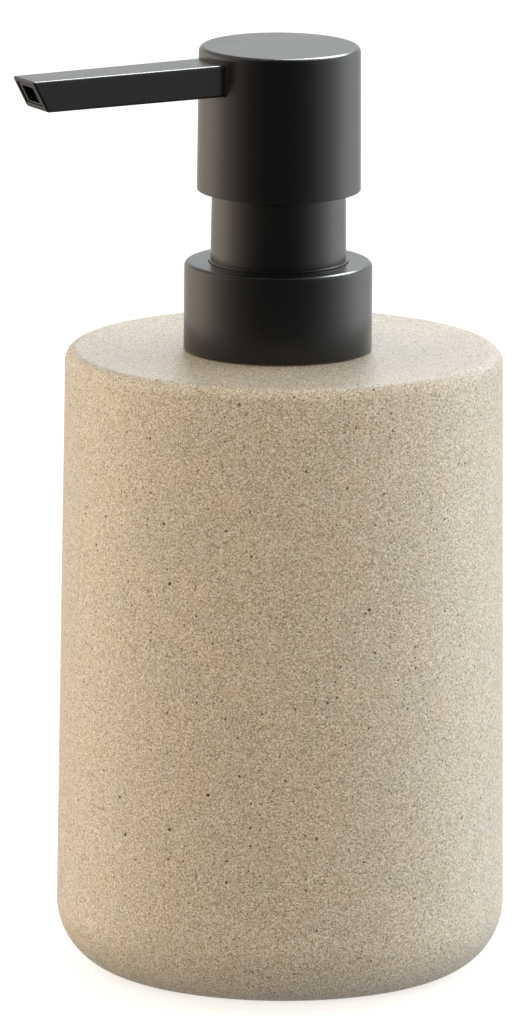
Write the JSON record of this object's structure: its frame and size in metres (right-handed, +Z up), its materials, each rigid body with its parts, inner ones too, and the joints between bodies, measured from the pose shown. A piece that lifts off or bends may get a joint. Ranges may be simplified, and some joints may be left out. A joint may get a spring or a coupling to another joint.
{
  "type": "soap pump dispenser",
  "caption": "Round cast resin bottle with a screw-on lotion pump: pressing the sprung head draws soap up a dip tube and out of a flat side spout.",
  "frame": {"origin": "centre of the base pad's underside, on the bottle's axis, on the surface it stands on", "axes": "+Z up along the bottle; -X the way the spout points; the pump's axis is parallel to Z and 1.3 mm from it towards -X"},
  "size_m": [0.093, 0.0798, 0.167],
  "materials": {
    "cast_resin": "matt cast stone resin, sand coloured with a fine speckle",
    "black_plastic": "satin black coated moulding",
    "natural_plastic": "natural moulded polypropylene",
    "seal_rubber": "dark grey elastomer",
    "steel": "stainless steel"
  },
  "bodies": {
    "bottle": {"bottle": "cast_resin", "neck_insert": "natural_plastic", "base_pad": "seal_rubber"},
    "pump": {"pump_housing": "natural_plastic", "chaplet": "natural_plastic", "gasket": "seal_rubber", "ball_cage": "natural_plastic", "return_spring": "steel", "dip_tube": "natural_plastic"},
    "collar": {"collar_shell": "black_plastic", "closure_liner": "natural_plastic", "neck_sleeve": "black_plastic"},
    "plunger": {"stem": "natural_plastic", "stem_plug": "natural_plastic"},
    "piston": {"piston": "seal_rubber"},
    "check_ball": {"check_ball": "steel"},
    "head": {"head_shell": "black_plastic", "actuator_core": "natural_plastic", "spout": "black_plastic", "spout_liner": "black_plastic"}
  },
  "joints": [
    {"name": "pump_rise", "type": "slide", "parent": "bottle", "child": "pump", "axis": [0, 0, 1], "range_m": [0, 0.00362]},
    {"name": "collar_turn", "type": "hinge", "parent": "pump", "child": "collar", "pos_m": [-0.0013, 0, 0.1206], "axis": [0, 0, 1], "range_deg": [0, 310]},
    {"name": "pump_stroke", "type": "slide", "parent": "pump", "child": "plunger", "axis": [0, 0, -1], "range_m": [0, 0.012], "stiffness_N_per_m": 800, "springref_m": -0.0075, "deforming": ["return_spring"]},
    {"name": "piston_travel", "type": "slide", "parent": "pump", "child": "piston", "axis": [0, 0, -1], "range_m": [0, 0.011]},
    {"name": "head_swivel", "type": "hinge", "parent": "plunger", "child": "head", "pos_m": [-0.0013, 0, 0.1585], "axis": [0, 0, 1], "continuous": true},
    {"name": "ball_lift", "type": "slide", "parent": "pump", "child": "check_ball", "axis": [0, 0, 1], "range_m": [0, 0.0015]}
  ],
  "couplings": [
    {"joint": "collar_turn", "follows": "pump_rise", "rad_per_m": 1496},
    {"joint": "piston_travel", "follows": "pump_stroke", "ratio": 0.9166}
  ]
}
